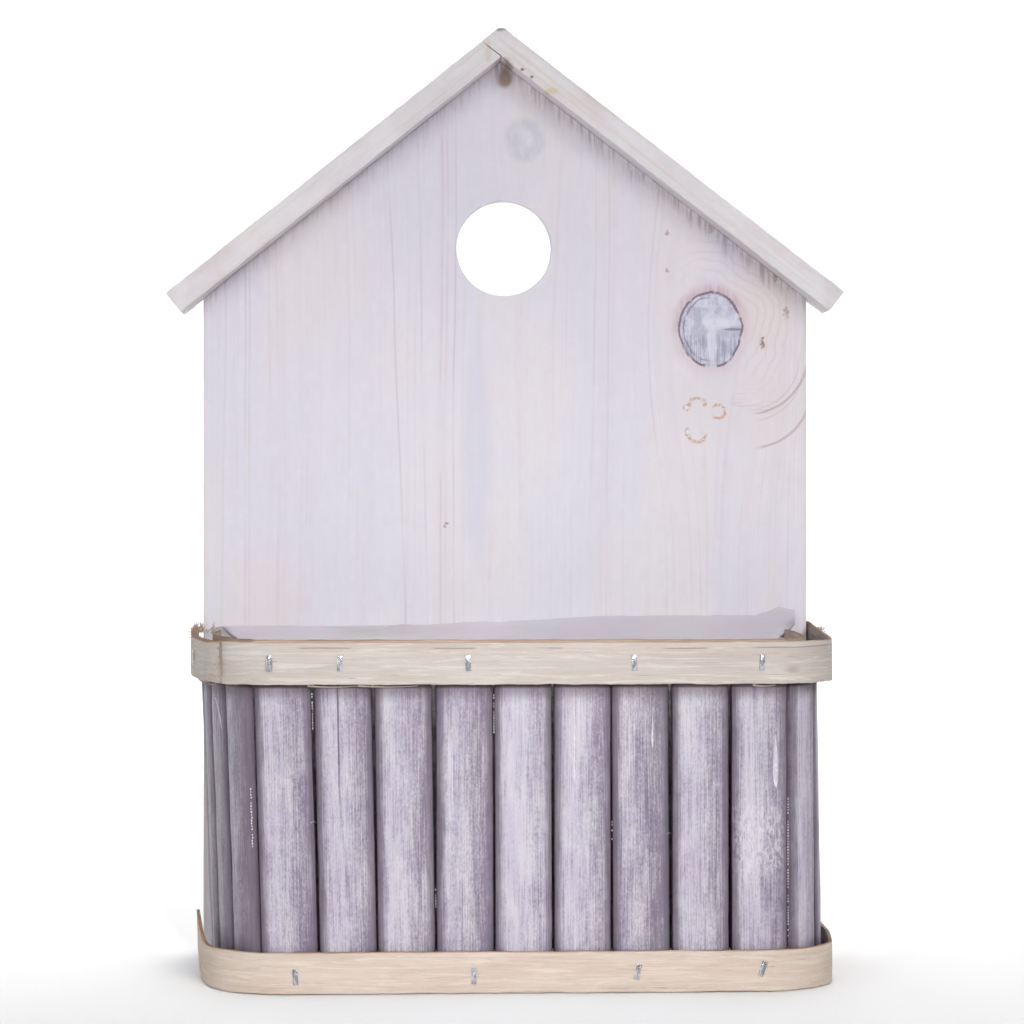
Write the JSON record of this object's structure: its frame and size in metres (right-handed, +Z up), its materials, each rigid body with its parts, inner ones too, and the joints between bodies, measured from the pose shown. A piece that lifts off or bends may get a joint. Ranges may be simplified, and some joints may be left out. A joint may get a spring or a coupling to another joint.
{
  "type": "birdhouse wall planter",
  "caption": "Planter shaped like a birdhouse: gabled wooden back board with an entrance hole and roof strips, and a slatted basket with veneer bands and a film liner.",
  "frame": {"origin": "on the ground, in the middle of the footprint's box", "axes": "+Z up along the board, -Y the front with the basket, +X to the right seen from the front"},
  "size_m": [0.3186, 0.1286, 0.4363],
  "materials": {
    "whitewashed_board": "thin white wash over pine, matt",
    "whitewashed_strip": "thin white wash over sawn softwood, matt",
    "stained_slat": "grey-violet stain under a worn white wash, matt",
    "veneer": "bare peeled veneer with fine grain, matt",
    "plain_plywood": "bare, matt",
    "liner_film": "milky, soft gloss",
    "galvanised_wire": "zinc coated, dull",
    "nail_steel": "plain, dull"
  },
  "bodies": {
    "root": {"left_stave": "whitewashed_board", "middle_stave": "whitewashed_board", "right_stave": "whitewashed_board", "left_roof_strip": "whitewashed_strip", "right_roof_strip": "whitewashed_strip", "left_slat_1": "stained_slat", "left_slat_2": "stained_slat", "left_slat_3": "stained_slat", "left_slat_4": "stained_slat", "left_slat_5": "stained_slat", "front_slat_1": "stained_slat", "front_slat_2": "stained_slat", "front_slat_3": "stained_slat", "front_slat_4": "stained_slat", "front_slat_5": "stained_slat", "front_slat_6": "stained_slat", "front_slat_7": "stained_slat", "front_slat_8": "stained_slat", "front_slat_9": "stained_slat", "right_slat_1": "stained_slat", "right_slat_2": "stained_slat", "right_slat_3": "stained_slat", "right_slat_4": "stained_slat", "right_slat_5": "stained_slat", "rim_band": "veneer", "rim_band_lap": "veneer", "rim_inner_band": "veneer", "base_band": "veneer", "base_inner_band": "veneer", "floor_plate": "plain_plywood", "liner": "liner_film", "rim_staples": "galvanised_wire", "side_staples": "galvanised_wire", "edge_staples": "galvanised_wire", "base_staples": "galvanised_wire", "roof_brads": "nail_steel", "floor_nails": "nail_steel"}
  },
  "joints": []
}
